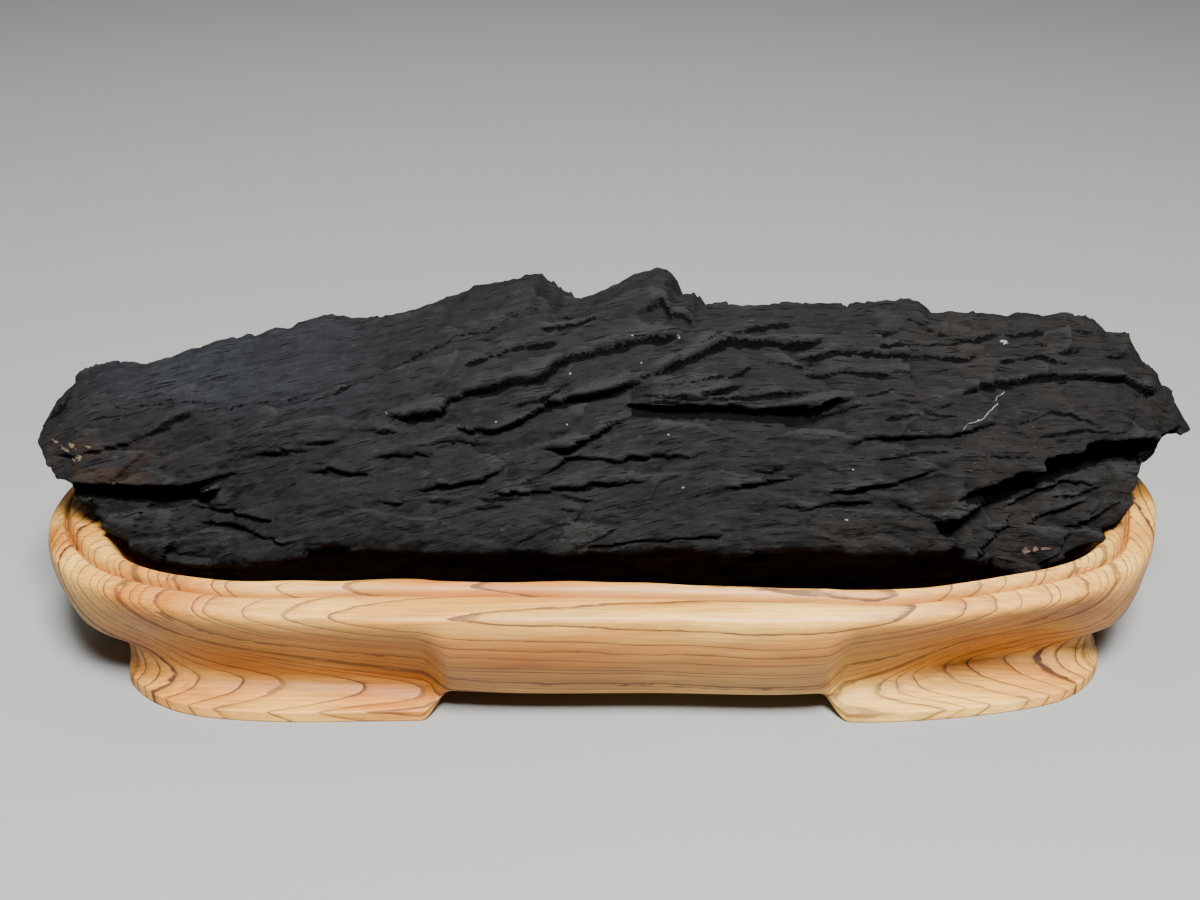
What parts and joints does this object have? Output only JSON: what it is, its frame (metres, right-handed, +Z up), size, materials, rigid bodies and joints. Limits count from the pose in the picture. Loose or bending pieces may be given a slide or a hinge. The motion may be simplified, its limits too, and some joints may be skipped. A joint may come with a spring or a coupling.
{
  "type": "scholars rock",
  "caption": "Long slab of layered charcoal-black viewing stone lying loose in the carved recess of a low footed hardwood display stand.",
  "frame": {"origin": "middle of the whole object's outline on the surface it stands on, under the stand's feet", "axes": "+X runs along the length to the rock's pointed end, +Y runs to the back, +Z runs up"},
  "size_m": [0.414, 0.1648, 0.1351],
  "materials": {
    "stone": "natural broken surface of a charcoal-black layered stone, dry and matt",
    "wood": "pale honey ring-porous hardwood, carved, sanded and thinly oiled, with brown growth rings"
  },
  "bodies": {
    "root": {"rock": "stone", "stand": "wood"}
  },
  "joints": []
}
